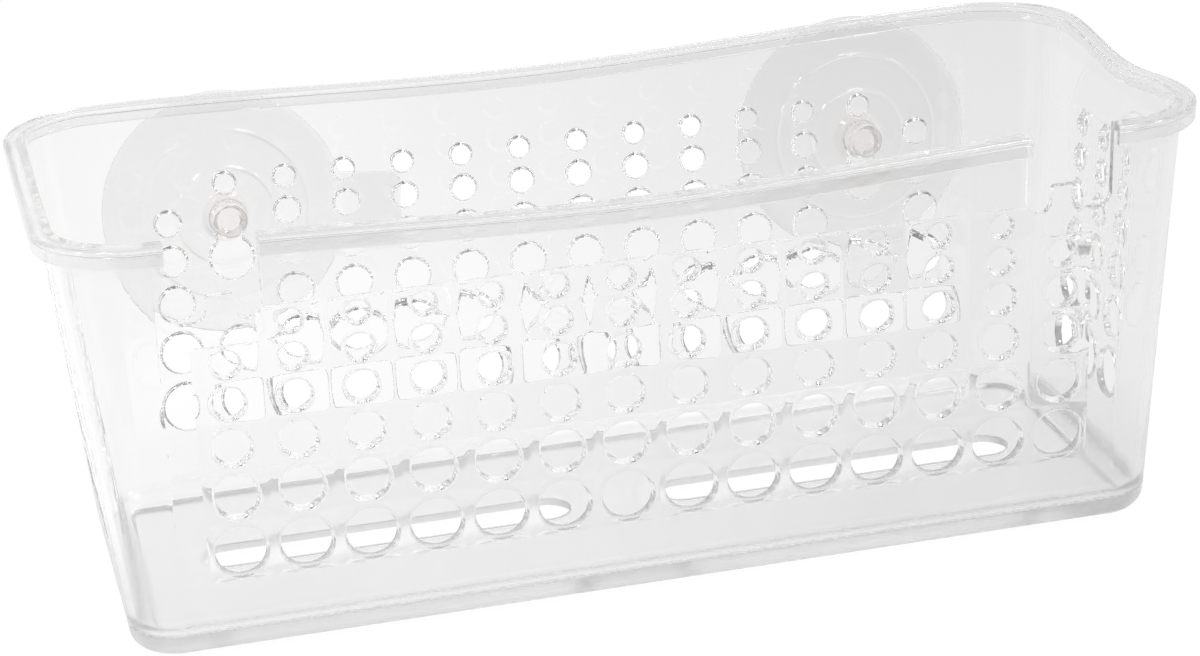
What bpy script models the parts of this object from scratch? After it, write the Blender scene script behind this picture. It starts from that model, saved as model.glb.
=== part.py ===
"""Suction shower caddy: a clear moulded basket that hangs on two soft suction cups.

Each cup's mushroom head sits inside the basket, in the narrow top of a keyhole in the back wall,
and slides down to the keyhole's wide lobe, where the head comes out.

Frame: the origin is the middle of the basket's underside, on the surface that its foot ring stands
on, +X runs along its length, +Y points to the back, where the suction cups are, and +Z is up. Lengths
are in metres.
"""
import math

import bmesh
import bpy
from mathutils import Matrix, Vector

mm = 0.001

# Basket shell: a rounded rectangle whose four walls lean out by the draft of the moulding
BASE_LENGTH = 262.8 * mm
BASE_DEPTH = 100.2 * mm
BASKET_HEIGHT = 109.3 * mm
DRAFT = math.radians(5.35)
WALL_THICKNESS = 2.0 * mm
FLOOR_THICKNESS = 2.0 * mm
CORNER_RADIUS = 12.0 * mm
BOTTOM_FILLET = 4.5 * mm
FLOOR_FILLET = 3.0 * mm

# Foot: a ring under the walls, and the round boss in the middle where the plastic was fed in
FOOT_HEIGHT = 2.0 * mm
FOOT_WIDTH = 1.0 * mm
BOSS_RADIUS = 4.0 * mm
FLOOR_TOP = FOOT_HEIGHT + FLOOR_THICKNESS

# Rim: a flat lip turned out and down, open underneath, highest at the corners
RIM_OVERHANG = 3.6 * mm
RIM_BAND_HEIGHT = 5.0 * mm
RIM_THICKNESS = 1.8 * mm
SKIRT_THICKNESS = 1.4 * mm
RIM_OUTER_ROUND = 1.2 * mm
RIM_INNER_ROUND = 0.5 * mm
FRONT_SAG = 3.9 * mm
BACK_SAG = 3.2 * mm
END_SAG = 3.0 * mm

# Drain holes: rows that shrink upwards by one share, with one web between them, each hole narrower
# inside than outside. Heights on a wall are measured up its slope from the ground, and the end
# margins run from the base's end to the middle of the last column.
HOLE_ROWS = 6
HOLE_PITCH = 16.0 * mm
HOLE_MARGIN = 27.4 * mm
HOLE_COLUMNS = 1 + round((BASE_LENGTH - 2 * HOLE_MARGIN) / HOLE_PITCH)
END_HOLE_PITCH = 15.0 * mm
END_HOLE_MARGIN = 35.1 * mm
END_HOLE_COLUMNS = 1 + round((BASE_DEPTH - 2 * END_HOLE_MARGIN) / END_HOLE_PITCH)
BOTTOM_HOLE_RADIUS = 6.8 * mm
HOLE_SHRINK_SHARE = 0.86
FIRST_ROW_HEIGHT = 26.7 * mm
ROW_WEB = 2.25 * mm
HOLE_TAPER = 0.6 * mm
HOLE_SEGMENTS = (12, 12, 10, 10, 8, 8)

# Floor slots: one long slot on each side of a centre strip
SLOT_WIDTH = 13.5 * mm
SLOT_MARGIN = 22.4 * mm
CENTRE_STRIP = 24.0 * mm

# Handle notches at both ends of the front wall: two round-bottomed slots with a tab between them.
# Their depths are measured down the wall's slope from the height of the rim's corners.
NOTCH_MARGIN = 15.1 * mm
NARROW_SLOT_WIDTH = 6.6 * mm
NOTCH_TAB_WIDTH = 6.6 * mm
WIDE_SLOT_WIDTH = 8.9 * mm
NOTCH_DEPTH = 21.9 * mm
NOTCH_TAB_DROP = 15.0 * mm
WIDE_SLOT_ROUND = 3.6 * mm
NOTCH_TAB_ROUND = 1.0 * mm

# Suction cups, as turned profiles about the pin's axis, which is square to the back wall
PIN_LOWER_ROWS = 4
PIN_OUTER_COLUMNS = 1
KEYHOLE_TRAVEL = 11.1 * mm
LOBE_CLEARANCE = 0.9 * mm
NECK_CLEARANCE = 0.32 * mm
WALL_CLEARANCE = 0.3 * mm
HEAD_RADIUS = 5.2 * mm
HEAD_FRONT_RADIUS = 4.8 * mm
HEAD_LENGTH = 4.5 * mm
HEAD_ROUND = 0.8 * mm
HUB_RADIUS = 7.4 * mm
HUB_HEIGHT = 1.2 * mm
INNER_RING_RADIUS = 13.0 * mm
OUTER_RING_RADIUS = 22.5 * mm
CUP_RADIUS = 32.6 * mm
CUP_STANDOFF = 8.4 * mm
CUP_STEP = 0.5 * mm
CUP_EDGE_THICKNESS = 0.9 * mm
CUP_LAND_WIDTH = 1.6 * mm
CUP_CENTRE_THICKNESS = 3.4 * mm
CUP_RISE_SHARE = 0.35
CUP_SEGMENTS = 32
CUP_BOWL_STEPS = 4
TAB_LENGTH = 15.6 * mm
TAB_WIDTH = 20.0 * mm
TAB_THICKNESS = 0.8 * mm
TAB_ROUND = 4.0 * mm
TAB_ROOT = 0.8 * mm
LEFT_TAB_TURN = math.radians(-6.0)
RIGHT_TAB_TURN = math.radians(-84.0)

CUTTER_OVERRUN = 0.5 * mm
CORNER_STEPS = 6
LONG_SIDE_STEPS = 12
END_SIDE_STEPS = 6
ROUND_STEPS = 4
SLOT_END_STEPS = 6
BOSS_SEGMENTS = 16
LOBE_STEPS = 16


def clear_scene():
    for thing in list(bpy.data.objects):
        bpy.data.objects.remove(thing, do_unlink=True)


def plastic(name, color, roughness, alpha):
    material = bpy.data.materials.new(name)
    material.use_nodes = True
    shader = material.node_tree.nodes["Principled BSDF"]
    shader.inputs["Base Color"].default_value = (*color, 1.0)
    shader.inputs["Roughness"].default_value = roughness
    shader.inputs["Metallic"].default_value = 0.0
    shader.inputs["Alpha"].default_value = alpha
    material.diffuse_color = (*color, alpha)
    return material


def add_object(name, bm, material=None, matrix=None):
    """Turns a bmesh into a named object with outward faces and smooth rounds."""
    bmesh.ops.recalc_face_normals(bm, faces=bm.faces)
    mesh = bpy.data.meshes.new(name)
    bm.to_mesh(mesh)
    bm.free()
    mesh.shade_smooth()
    mesh.set_sharp_from_angle(angle=math.radians(32))
    thing = bpy.data.objects.new(name, mesh)
    bpy.context.scene.collection.objects.link(thing)
    if material:
        mesh.materials.append(material)
    if matrix:
        thing.matrix_world = matrix
    return thing


def as_tool(thing):
    """Marks a shape that only cuts or joins, so that it isn't a piece of the caddy."""
    thing.hide_render = True
    thing.display_type = "WIRE"
    return thing


def combine(thing, tool, operation):
    modifier = thing.modifiers.new(tool.name, "BOOLEAN")
    modifier.operation = operation
    modifier.solver = "EXACT"
    modifier.object = tool


def add_loft(bm, low_outline, high_outline, low, high):
    """Adds a closed solid between two outlines of (x, y) points, at z = low and at z = high."""
    bottom = [bm.verts.new((x, y, low)) for x, y in low_outline]
    top = [bm.verts.new((x, y, high)) for x, y in high_outline]
    bm.faces.new(reversed(bottom))
    bm.faces.new(top)
    for i in range(len(bottom)):
        j = (i + 1) % len(bottom)
        bm.faces.new((bottom[i], bottom[j], top[j], top[i]))


def add_prism(bm, outline, low, high):
    add_loft(bm, outline, outline, low, high)


def arc(center, radius, start, end, steps):
    """Points on an arc; the angles are in quarter turns from +X."""
    points = []
    for i in range(steps + 1):
        angle = (start + (end - start) * i / steps) * math.pi / 2
        points.append((center[0] + radius * math.cos(angle), center[1] + radius * math.sin(angle)))
    return points


def circle(center, radius, segments):
    return arc(center, radius, -2.0, 2.0, segments)[:-1]


def side_mirrored(outline):
    """The same outline on the other side of the middle, in the same turning sense."""
    return [(-x, y) for x, y in reversed(outline)]


def wall_frame(outward, half_size):
    """A frame on a wall's outer face: X along the wall, Y up its slope, Z out of it."""
    outward = Vector(outward)
    lift = Vector((0.0, 0.0, 1.0))
    normal = outward * math.cos(DRAFT) - lift * math.sin(DRAFT)
    slope = outward * math.sin(DRAFT) + lift * math.cos(DRAFT)
    frame = Matrix((slope.cross(normal), slope, normal)).transposed().to_4x4()
    frame.translation = outward * half_size
    return frame


def front_frame():
    return wall_frame((0.0, -1.0, 0.0), BASE_DEPTH / 2)


def back_frame():
    return wall_frame((0.0, 1.0, 0.0), BASE_DEPTH / 2)


def hole_radius(row):
    return BOTTOM_HOLE_RADIUS * HOLE_SHRINK_SHARE**row


def row_height(row):
    """How far up the wall's slope a row's centres lie."""
    height = FIRST_ROW_HEIGHT
    for lower in range(row):
        height += hole_radius(lower) + ROW_WEB + hole_radius(lower + 1)
    return height


def column_place(column, columns, pitch):
    return (column - (columns - 1) / 2) * pitch


def rim_height():
    """The height of the rim's corners, measured up a wall's slope."""
    return BASKET_HEIGHT / math.cos(DRAFT)


def fits_under(row, limit):
    return row_height(row) + hole_radius(row) + ROW_WEB <= limit


def pin_place():
    return abs(column_place(PIN_OUTER_COLUMNS, HOLE_COLUMNS, HOLE_PITCH))


# Basket

def shell_stations():
    """The places round the basket: (point the corners turn about, outward direction, rim sag)."""
    half_x = BASE_LENGTH / 2 - CORNER_RADIUS
    half_y = BASE_DEPTH / 2 - CORNER_RADIUS
    corners = ((half_x, -half_y), (half_x, half_y), (-half_x, half_y), (-half_x, -half_y))
    sides = ((END_SAG, END_SIDE_STEPS), (BACK_SAG, LONG_SIDE_STEPS),
             (END_SAG, END_SIDE_STEPS), (FRONT_SAG, LONG_SIDE_STEPS))
    stations = []
    for k, (corner, (sag, steps)) in enumerate(zip(corners, sides)):
        here = Vector(corner)
        there = Vector(corners[(k + 1) % len(corners)])
        for direction in arc((0.0, 0.0), 1.0, k - 1, k, CORNER_STEPS):
            stations.append((here, Vector(direction), 0.0))
        across = Vector(arc((0.0, 0.0), 1.0, k, k, 1)[0])
        for i in range(1, steps):
            along = i / steps
            dip = sag * (0.5 - 0.5 * math.cos(2 * math.pi * along))
            stations.append((here.lerp(there, along), across, dip))
    return stations


def shell_profile():
    """The wall's section as (outward, height, hangs from the rim), from under the floor to its top.

    Outward is measured from the outer face; a height that hangs from the rim is a drop below it.
    """
    wall = WALL_THICKNESS / math.cos(DRAFT)
    under = arc((-BOTTOM_FILLET, BOTTOM_FILLET), BOTTOM_FILLET, -1.0, 0.0, ROUND_STEPS)
    inside = arc((-wall - FLOOR_FILLET, FLOOR_TOP + FLOOR_FILLET), FLOOR_FILLET,
                 0.0, -1.0, ROUND_STEPS - 1)
    skirt_inside = RIM_OVERHANG - SKIRT_THICKNESS
    outer_round = arc((RIM_OVERHANG - RIM_OUTER_ROUND, -RIM_OUTER_ROUND), RIM_OUTER_ROUND,
                      0.0, 1.0, ROUND_STEPS - 1)
    inner_round = arc((RIM_INNER_ROUND - wall, -RIM_INNER_ROUND), RIM_INNER_ROUND,
                      1.0, 2.0, ROUND_STEPS - 2)
    rim = [(0.0, -RIM_THICKNESS), (skirt_inside, -RIM_THICKNESS), (skirt_inside, -RIM_BAND_HEIGHT),
           (RIM_OVERHANG, -RIM_BAND_HEIGHT)] + outer_round + inner_round
    return ([(out, height, False) for out, height in under]
            + [(out, -height, True) for out, height in rim]
            + [(out, height, False) for out, height in inside])


def basket_shell():
    """Lofts the section round the stations and closes it under and over the floor."""
    stations = shell_stations()
    bm = bmesh.new()
    rings = []
    for outward, height, hangs in shell_profile():
        ring = []
        for turning_point, direction, sag in stations:
            z = BASKET_HEIGHT - sag - height if hangs else height
            reach = CORNER_RADIUS + outward + z * math.tan(DRAFT)
            place = turning_point + direction * reach
            ring.append(bm.verts.new((place.x, place.y, z)))
        rings.append(ring)
    count = len(stations)
    for lower, upper in zip(rings, rings[1:]):
        for i in range(count):
            j = (i + 1) % count
            bm.faces.new((lower[i], lower[j], upper[j], upper[i]))
    bm.faces.new(rings[0])
    bm.faces.new(rings[-1])
    bmesh.ops.dissolve_limit(bm, angle_limit=math.radians(0.03), verts=bm.verts, edges=bm.edges)
    return bm


def has_hole(row, column, is_back):
    """The rows end under the rim, the last columns end under the notches, and the keyholes take the
    place of three holes."""
    from_end = min(column, HOLE_COLUMNS - 1 - column)
    under_rim = rim_height() - (max(FRONT_SAG, BACK_SAG) + RIM_BAND_HEIGHT) / math.cos(DRAFT)
    if not fits_under(row, rim_height() - NOTCH_DEPTH if from_end == 0 else under_rim):
        return False
    if is_back and from_end == PIN_OUTER_COLUMNS:
        lobe_bottom = row_height(PIN_LOWER_ROWS) - KEYHOLE_TRAVEL - HEAD_RADIUS - LOBE_CLEARANCE
        return row > PIN_LOWER_ROWS or fits_under(row, lobe_bottom)
    return True


def add_hole(bm, place, row):
    """Adds a row's hole as a cone, with its full radius on the wall's outer face, z = 0."""
    slope = HOLE_TAPER / WALL_THICKNESS
    inner = circle(place, hole_radius(row) - HOLE_TAPER - slope * CUTTER_OVERRUN, HOLE_SEGMENTS[row])
    outer = circle(place, hole_radius(row) + slope * CUTTER_OVERRUN, HOLE_SEGMENTS[row])
    add_loft(bm, inner, outer, -WALL_THICKNESS - CUTTER_OVERRUN, CUTTER_OVERRUN)


def hole_cutter(name, frame, is_back):
    bm = bmesh.new()
    for row in range(HOLE_ROWS):
        for column in range(HOLE_COLUMNS):
            if has_hole(row, column, is_back):
                add_hole(bm, (column_place(column, HOLE_COLUMNS, HOLE_PITCH), row_height(row)), row)
    if is_back:
        for outline in (keyhole_outline(), side_mirrored(keyhole_outline())):
            add_prism(bm, outline, -WALL_THICKNESS - CUTTER_OVERRUN, CUTTER_OVERRUN)
    return as_tool(add_object(name, bm, matrix=frame))


def keyhole_outline():
    """A round seat with straight sides down into the wide lobe that lets the head through."""
    seat = hole_radius(PIN_LOWER_ROWS)
    lobe = HEAD_RADIUS + LOBE_CLEARANCE
    height = row_height(PIN_LOWER_ROWS)
    opening = math.acos(seat / lobe) / (math.pi / 2)
    return (arc((pin_place(), height), seat, 0.0, 2.0, 2 * ROUND_STEPS)
            + arc((pin_place(), height - KEYHOLE_TRAVEL), lobe, -2.0 - opening, opening, LOBE_STEPS))


def end_hole_cutter(name, direction):
    bm = bmesh.new()
    for row in range(HOLE_ROWS):
        for column in range(END_HOLE_COLUMNS):
            if fits_under(row, rim_height() - (END_SAG + RIM_BAND_HEIGHT) / math.cos(DRAFT)):
                place = (column_place(column, END_HOLE_COLUMNS, END_HOLE_PITCH), row_height(row))
                add_hole(bm, place, row)
    frame = wall_frame((direction, 0.0, 0.0), BASE_LENGTH / 2)
    return as_tool(add_object(name, bm, matrix=frame))


def slot_cutter():
    bm = bmesh.new()
    round_radius = SLOT_WIDTH / 2
    start = CENTRE_STRIP / 2 + round_radius
    end = BASE_LENGTH / 2 - SLOT_MARGIN - round_radius
    outline = (arc((start, 0.0), round_radius, 1.0, 3.0, SLOT_END_STEPS)
               + arc((end, 0.0), round_radius, -1.0, 1.0, SLOT_END_STEPS))
    for half in (outline, side_mirrored(outline)):
        add_prism(bm, half, -CUTTER_OVERRUN, FLOOR_TOP + CUTTER_OVERRUN)
    return as_tool(add_object("floor_slot_cutter", bm))


def recess_cutter():
    """The recess under the floor, inside the foot ring."""
    bm = bmesh.new()
    round_radius = CORNER_RADIUS - BOTTOM_FILLET - FOOT_WIDTH
    x = BASE_LENGTH / 2 - CORNER_RADIUS
    y = BASE_DEPTH / 2 - CORNER_RADIUS
    outline = []
    for quarter, center in enumerate(((x, y), (-x, y), (-x, -y), (x, -y))):
        outline += arc(center, round_radius, quarter, quarter + 1, ROUND_STEPS)
    add_prism(bm, outline, -CUTTER_OVERRUN, FOOT_HEIGHT)
    return as_tool(add_object("recess_cutter", bm))


def boss_form():
    bm = bmesh.new()
    add_prism(bm, circle((0.0, 0.0), BOSS_RADIUS, BOSS_SEGMENTS), 0.0, FOOT_HEIGHT + CUTTER_OVERRUN)
    return as_tool(add_object("boss_form", bm))


def notch_outline():
    """Narrow slot, tab and wide slot, all open to above the rim."""
    above = rim_height() + CUTTER_OVERRUN
    bottom = rim_height() - NOTCH_DEPTH
    end = BASE_LENGTH / 2 - NOTCH_MARGIN
    tab_end = end - WIDE_SLOT_WIDTH
    tab_start = tab_end - NOTCH_TAB_WIDTH
    start = tab_start - NARROW_SLOT_WIDTH
    narrow = NARROW_SLOT_WIDTH / 2
    corner = WIDE_SLOT_ROUND
    tab_top = rim_height() - NOTCH_TAB_DROP - NOTCH_TAB_ROUND
    return ([(end, above), (start, above)]
            + arc((start + narrow, bottom + narrow), narrow, -2.0, 0.0, 2 * ROUND_STEPS)
            + arc((tab_start + NOTCH_TAB_ROUND, tab_top), NOTCH_TAB_ROUND, 2.0, 1.0, 2)
            + arc((tab_end - NOTCH_TAB_ROUND, tab_top), NOTCH_TAB_ROUND, 1.0, 0.0, 2)
            + arc((tab_end + corner, bottom + corner), corner, -2.0, -1.0, ROUND_STEPS)
            + arc((end - corner, bottom + corner), corner, -1.0, 0.0, ROUND_STEPS))


def notch_cutter():
    bm = bmesh.new()
    reach = RIM_OVERHANG + CUTTER_OVERRUN
    add_prism(bm, notch_outline(), -WALL_THICKNESS - CUTTER_OVERRUN, reach)
    add_prism(bm, side_mirrored(notch_outline()), -WALL_THICKNESS - CUTTER_OVERRUN, reach)
    return as_tool(add_object("notch_cutter", bm, matrix=front_frame()))


def make_basket():
    material = plastic("clear_plastic", (0.86, 0.88, 0.89), 0.08, 0.35)
    basket = add_object("basket", basket_shell(), material)
    cutters = (hole_cutter("front_hole_cutter", front_frame(), False),
               hole_cutter("back_hole_cutter", back_frame(), True),
               end_hole_cutter("left_hole_cutter", -1.0),
               end_hole_cutter("right_hole_cutter", 1.0),
               slot_cutter(), recess_cutter(), notch_cutter())
    for cutter in cutters:
        combine(basket, cutter, "DIFFERENCE")
    combine(basket, boss_form(), "UNION")
    return basket


# Suction cups

def cup_profile():
    """The cup's section as (radius, place along the pin); 0 is the wall's outer face, + is outwards."""
    neck = hole_radius(PIN_LOWER_ROWS) - NECK_CLEARANCE
    head_back = -WALL_THICKNESS - WALL_CLEARANCE
    head_front = head_back - HEAD_LENGTH
    hub_top = WALL_CLEARANCE + HUB_HEIGHT
    edge_back = CUP_STANDOFF - CUP_EDGE_THICKNESS
    rise = edge_back - hub_top
    reach = CUP_RADIUS - HUB_RADIUS

    def back_face(radius):
        """The domed back, which starts flat at the hub and steepens to the edge."""
        share = (radius - HUB_RADIUS) / reach
        return hub_top + rise * (CUP_RISE_SHARE * share + (1.0 - CUP_RISE_SHARE) * share * share)

    head = arc((HEAD_FRONT_RADIUS - HEAD_ROUND, head_front + HEAD_ROUND), HEAD_ROUND, -1.0, 0.0, 2)
    inner, outer = INNER_RING_RADIUS, OUTER_RING_RADIUS
    back = [(HUB_RADIUS, WALL_CLEARANCE), (HUB_RADIUS, hub_top),
            (inner, back_face(inner) - CUP_STEP), (inner, back_face(inner)),
            (outer, back_face(outer) - CUP_STEP), (outer, back_face(outer)),
            ((outer + CUP_RADIUS) / 2, back_face((outer + CUP_RADIUS) / 2)), (CUP_RADIUS, edge_back)]
    land = CUP_RADIUS - CUP_LAND_WIDTH
    bowl_depth = CUP_STANDOFF - (back_face(HUB_RADIUS) + CUP_CENTRE_THICKNESS)
    bowl = []
    for step in range(CUP_BOWL_STEPS, 0, -1):
        share = step / CUP_BOWL_STEPS
        bowl.append((land * share, CUP_STANDOFF - bowl_depth * (1.0 - share**2)))
    return ([(0.0, head_front)] + head
            + [(HEAD_RADIUS, head_back), (neck, head_back), (neck, WALL_CLEARANCE)]
            + back + [(CUP_RADIUS, CUP_STANDOFF)] + bowl + [(0.0, CUP_STANDOFF - bowl_depth)])


def turned(profile, segments):
    """Turns a (radius, z) section about Z; points on the axis become single poles."""
    bm = bmesh.new()
    rings = []
    for radius, z in profile:
        if radius == 0.0:
            rings.append([bm.verts.new((0.0, 0.0, z))] * segments)
        else:
            rings.append([bm.verts.new((x, y, z)) for x, y in circle((0.0, 0.0), radius, segments)])
    for lower, upper in zip(rings, rings[1:]):
        for i in range(segments):
            j = (i + 1) % segments
            corners = dict.fromkeys((lower[i], lower[j], upper[j], upper[i]))
            bm.faces.new(tuple(corners))
    return bm


def tab_outline():
    """The pull tab's plate along +X; its root follows the cup's round edge, just inside it."""
    end = CUP_RADIUS + TAB_LENGTH
    half = TAB_WIDTH / 2
    root = CUP_RADIUS - TAB_ROOT
    spread = math.asin(half / root) / (math.pi / 2)
    return (arc((0.0, 0.0), root, spread, -spread, ROUND_STEPS)
            + arc((end - TAB_ROUND, TAB_ROUND - half), TAB_ROUND, -1.0, 0.0, ROUND_STEPS)
            + arc((end - TAB_ROUND, half - TAB_ROUND), TAB_ROUND, 0.0, 1.0, ROUND_STEPS))


def make_cup(name, side, tab_turn, material):
    """One cup on its pin: side is -1 at the left and 1 at the right, and tab_turn starts at +X."""
    place = Matrix.Translation((-side * pin_place(), row_height(PIN_LOWER_ROWS), 0.0))
    matrix = back_frame() @ place
    cup = add_object(name, turned(cup_profile(), CUP_SEGMENTS), material, matrix)
    bm = bmesh.new()
    tab_back = CUP_STANDOFF - CUP_EDGE_THICKNESS + (CUP_EDGE_THICKNESS - TAB_THICKNESS) / 2
    add_prism(bm, tab_outline(), tab_back, tab_back + TAB_THICKNESS)
    turn = Matrix.Rotation(math.pi - tab_turn, 4, "Z")
    tab = as_tool(add_object(name + "_tab_form", bm, matrix=matrix @ turn))
    combine(cup, tab, "UNION")
    return cup


def main():
    clear_scene()
    make_basket()
    soft = plastic("soft_clear_vinyl", (0.88, 0.86, 0.82), 0.2, 0.5)
    make_cup("suction_cup_left", -1, LEFT_TAB_TURN, soft)
    make_cup("suction_cup_right", 1, RIGHT_TAB_TURN, soft)


main()
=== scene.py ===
"""A clear suction shower caddy on a white ground: a moulded basket and two soft suction cups.

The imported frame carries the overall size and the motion. This file dresses it: the basket and the cups
are modelled again with softened edges, cushioned inner faces and clear plastic. Lengths are in metres,
+Z is up, +Y is the back of the basket and the origin is the middle of its underside.
"""
import math

import bmesh
import bpy
from bpy.props import FloatProperty, FloatVectorProperty, IntProperty, PointerProperty
from mathutils import Matrix, Vector


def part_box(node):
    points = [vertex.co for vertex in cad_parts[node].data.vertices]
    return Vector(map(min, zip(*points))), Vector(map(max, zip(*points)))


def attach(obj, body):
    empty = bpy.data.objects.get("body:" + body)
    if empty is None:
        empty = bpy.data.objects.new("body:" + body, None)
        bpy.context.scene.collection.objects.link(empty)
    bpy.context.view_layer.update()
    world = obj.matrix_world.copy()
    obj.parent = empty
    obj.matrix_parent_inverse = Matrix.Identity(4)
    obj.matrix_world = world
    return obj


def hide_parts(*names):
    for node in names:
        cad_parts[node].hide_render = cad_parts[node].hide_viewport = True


bl_info = {
    "name": "Suction shower caddy",
    "version": (1, 0, 0),
    "blender": (4, 5, 0),
    "location": "3D View > Sidebar > Caddy",
    "description": "Builds a clear basket with two suction cups, and its white studio",
    "category": "Add Mesh",
}

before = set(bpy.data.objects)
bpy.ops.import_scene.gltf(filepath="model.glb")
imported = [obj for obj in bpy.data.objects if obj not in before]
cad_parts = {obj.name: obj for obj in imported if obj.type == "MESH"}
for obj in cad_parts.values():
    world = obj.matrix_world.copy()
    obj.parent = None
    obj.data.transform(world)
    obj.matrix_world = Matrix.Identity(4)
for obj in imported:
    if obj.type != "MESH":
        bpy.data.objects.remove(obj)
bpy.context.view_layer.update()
BASKET_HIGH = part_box("basket")[1]

mm = 0.001
QUARTER = math.pi / 2
PIN_ROW = 4
PIN_COLUMN = 1
HOLE_STEPS = 40
CREASE = math.radians(40)
WHITE = (1.0, 1.0, 1.0, 1.0)
BLACK = (0.0, 0.0, 0.0, 1.0)


class CaddySizes(bpy.types.PropertyGroup):
    """The basket's and the cups' driving sizes."""

    height: FloatProperty(name="Height", description="Ground to the rim's corners", unit="LENGTH",
                          default=BASKET_HIGH.z)
    draft: FloatProperty(name="Draft", description="Lean of the four walls", subtype="ANGLE",
                         default=math.radians(5.35))
    wall: FloatProperty(name="Wall", description="Thickness of the walls", unit="LENGTH", default=2.0 * mm)
    floor: FloatProperty(name="Floor", description="Thickness of the floor", unit="LENGTH", default=2.0 * mm)
    foot: FloatProperty(name="Foot", description="Height of the foot ring under the floor", unit="LENGTH",
                        default=2.0 * mm)
    foot_width: FloatProperty(name="Foot width", description="Flat width of the foot ring", unit="LENGTH",
                              default=1.0 * mm)
    corner: FloatProperty(name="Corner", description="Upright corners' radius at the ground", unit="LENGTH",
                          default=12.0 * mm)
    fillet: FloatProperty(name="Bottom fillet", description="Round between walls and underside",
                          unit="LENGTH", default=4.5 * mm)
    floor_fillet: FloatProperty(name="Floor fillet", description="Round between walls and floor inside",
                                unit="LENGTH", default=6.0 * mm)
    overhang: FloatProperty(name="Rim overhang", description="How far the rim stands out from the wall",
                            unit="LENGTH", default=3.6 * mm)
    band: FloatProperty(name="Rim band", description="Height of the rim's skirt", unit="LENGTH",
                        default=5.0 * mm)
    rim_top: FloatProperty(name="Rim thickness", description="Thickness of the rim's flat top", unit="LENGTH",
                           default=1.8 * mm)
    skirt: FloatProperty(name="Skirt thickness", description="Thickness of the turned-down skirt",
                         unit="LENGTH", default=1.4 * mm)
    front_sag: FloatProperty(name="Front sag", description="Dip of the front rim", unit="LENGTH",
                             default=3.9 * mm)
    back_sag: FloatProperty(name="Back sag", description="Dip of the back rim", unit="LENGTH",
                            default=3.2 * mm)
    end_sag: FloatProperty(name="End sag", description="Dip of the rim at the ends", unit="LENGTH",
                           default=3.0 * mm)
    edge_round: FloatProperty(name="Edge round", description="Softening of the holes' edges", unit="LENGTH",
                              default=0.25 * mm)
    taper: FloatProperty(name="Hole taper", description="How much narrower a hole is at the inner face",
                         unit="LENGTH", default=0.6 * mm)
    cushion: FloatProperty(name="Cushion", default=3.7,
                           description="Curvature of the inner face round each hole, per metre")
    pitch: FloatProperty(name="Hole pitch", description="Between hole columns", unit="LENGTH",
                         default=16.0 * mm)
    end_pitch: FloatProperty(name="End hole pitch", description="Between hole columns on the end walls",
                             unit="LENGTH", default=15.0 * mm)
    hole: FloatProperty(name="Bottom hole", description="Radius of the lowest row's holes", unit="LENGTH",
                        default=6.8 * mm)
    shrink: FloatProperty(name="Hole shrink", description="Each row's radius as a share of the row below",
                          default=0.86)
    web: FloatProperty(name="Row web", description="Plastic between two rows", unit="LENGTH",
                       default=2.25 * mm)
    first_row: FloatProperty(name="First row", description="Height of the lowest row up the wall's slope",
                             unit="LENGTH", default=26.7 * mm)
    rows: IntProperty(name="Rows", description="Rows of holes", default=6)
    columns: IntProperty(name="Columns", description="Hole columns on the long walls", default=14)
    end_columns: IntProperty(name="End columns", description="Hole columns on the end walls", default=3)
    slot_width: FloatProperty(name="Slot width", description="Width of a floor slot", unit="LENGTH",
                              default=13.5 * mm)
    slot_length: FloatProperty(name="Slot length", description="Length of a floor slot", unit="LENGTH",
                               default=97.0 * mm)
    centre_strip: FloatProperty(name="Centre strip", description="Solid strip between the two slots",
                                unit="LENGTH", default=24.0 * mm)
    travel: FloatProperty(name="Keyhole travel", description="Seat to lobe", unit="LENGTH", default=11.1 * mm)
    lobe: FloatProperty(name="Lobe", description="Radius of the keyhole's wide lobe", unit="LENGTH",
                        default=6.1 * mm)
    cup: FloatProperty(name="Cup", description="Radius of a suction cup", unit="LENGTH", default=32.6 * mm)
    standoff: FloatProperty(name="Cup standoff", description="Wall to the cup's sealing lip", unit="LENGTH",
                            default=8.4 * mm)
    hub: FloatProperty(name="Hub", description="Radius of the cup's flat hub on the wall", unit="LENGTH",
                       default=7.4 * mm)
    head: FloatProperty(name="Head", description="Radius of the mushroom head", unit="LENGTH",
                        default=5.2 * mm)
    head_length: FloatProperty(name="Head length", description="Length of the mushroom head", unit="LENGTH",
                               default=4.5 * mm)
    tab_length: FloatProperty(name="Tab length", description="How far the pull tab stands out", unit="LENGTH",
                              default=15.6 * mm)
    tab_width: FloatProperty(name="Tab width", description="Width of the pull tab", unit="LENGTH",
                             default=20.0 * mm)


class CaddyColours(bpy.types.PropertyGroup):
    """Colours of the plastics and the ground."""

    plastic: FloatVectorProperty(name="Clear plastic", description="Tint of the basket", subtype="COLOR",
                                 default=(0.978, 0.978, 0.978))
    floor: FloatVectorProperty(name="Hazy floor", description="Tint of the basket's floor", subtype="COLOR",
                               default=(0.95, 0.95, 0.95))
    vinyl: FloatVectorProperty(name="Soft vinyl", description="Tint of the cups", subtype="COLOR",
                               default=(0.93, 0.93, 0.93))
    head: FloatVectorProperty(name="Cup head", description="Tint of the cups' thick heads", subtype="COLOR",
                              default=(0.9, 0.875, 0.86))
    ground: FloatVectorProperty(name="Ground", description="Colour of the studio ground", subtype="COLOR",
                                default=(0.8, 0.8, 0.8))


# Shader maths

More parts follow.
